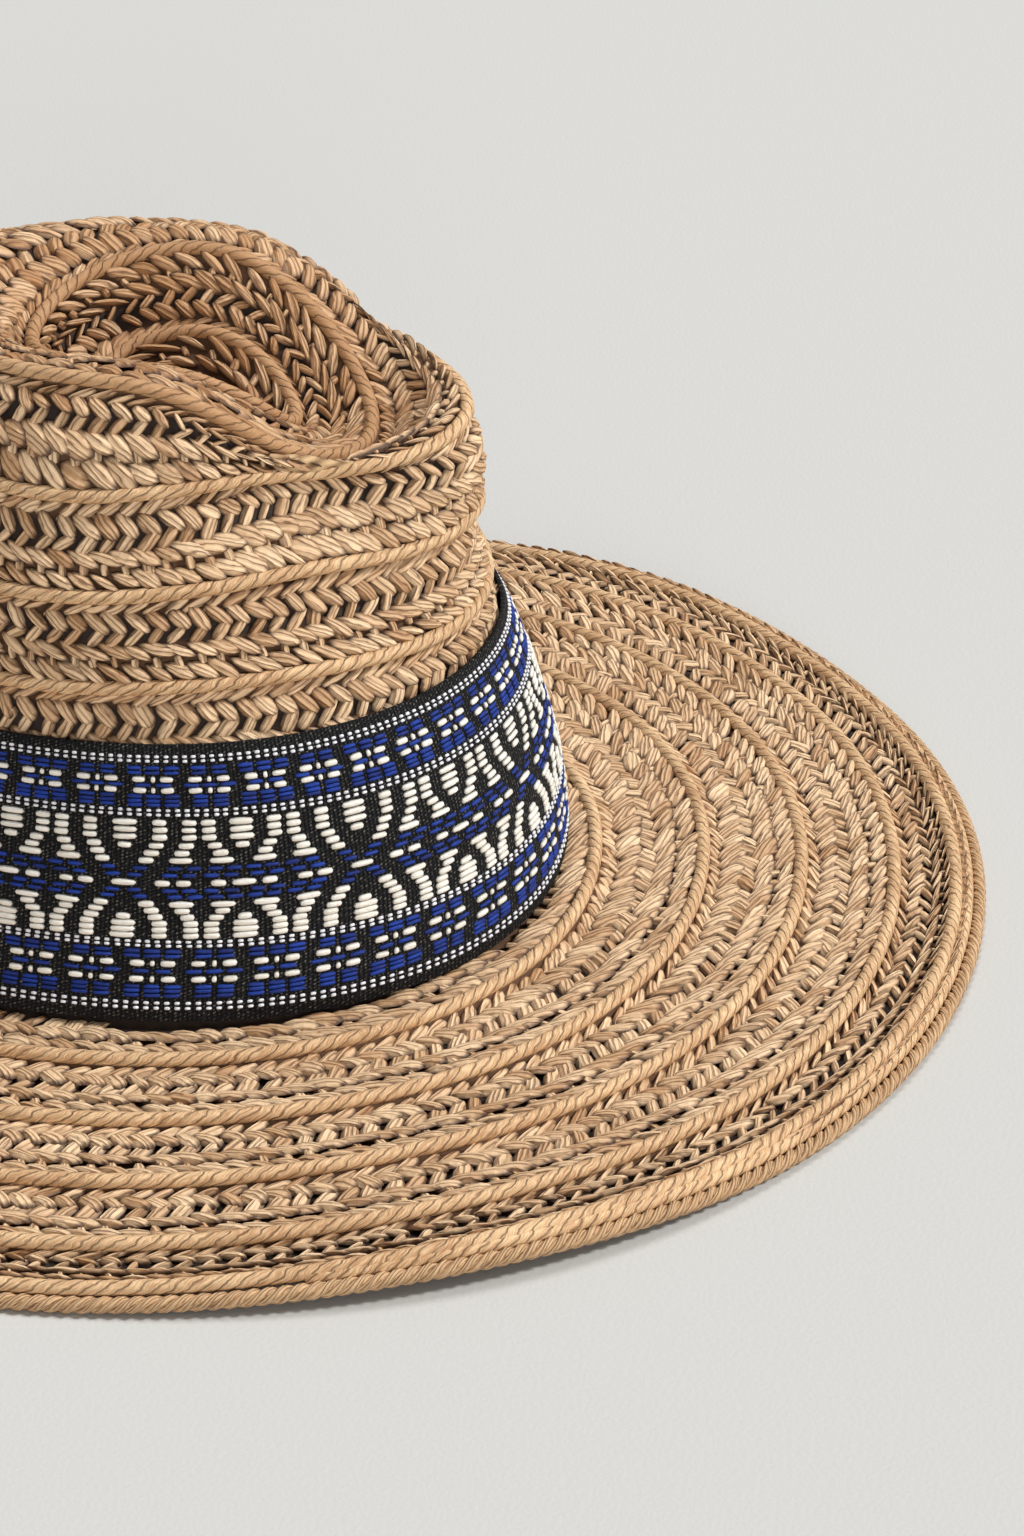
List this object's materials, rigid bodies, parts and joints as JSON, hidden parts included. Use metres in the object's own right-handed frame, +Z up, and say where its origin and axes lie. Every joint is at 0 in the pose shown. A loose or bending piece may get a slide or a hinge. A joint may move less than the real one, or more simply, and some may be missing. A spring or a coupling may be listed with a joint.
{
  "type": "straw hat",
  "caption": "Wide-brimmed straw hat of plait sewn in a spiral, with a dented and pinched crown, a corded brim edge and a wide patterned woven band.",
  "frame": {"origin": "on the surface that the hat lies on, below the middle of the brim's outline", "axes": "+Z up from the brim to the crown, -Y towards the front of the hat, +X towards the wearer's left"},
  "size_m": [0.3486, 0.3688, 0.14],
  "materials": {
    "straw": "dry plaited paper straw, light tan, matte with a faint sheen along the strands",
    "straw_cord": "twisted paper straw cord, light tan, matte",
    "band_ribbon": "jacquard woven ribbon, black ground with royal blue, ivory and white floats"
  },
  "bodies": {
    "root": {"crown": "straw", "brim": "straw", "brim_cord": "straw_cord", "hat_band": "band_ribbon"}
  },
  "joints": []
}
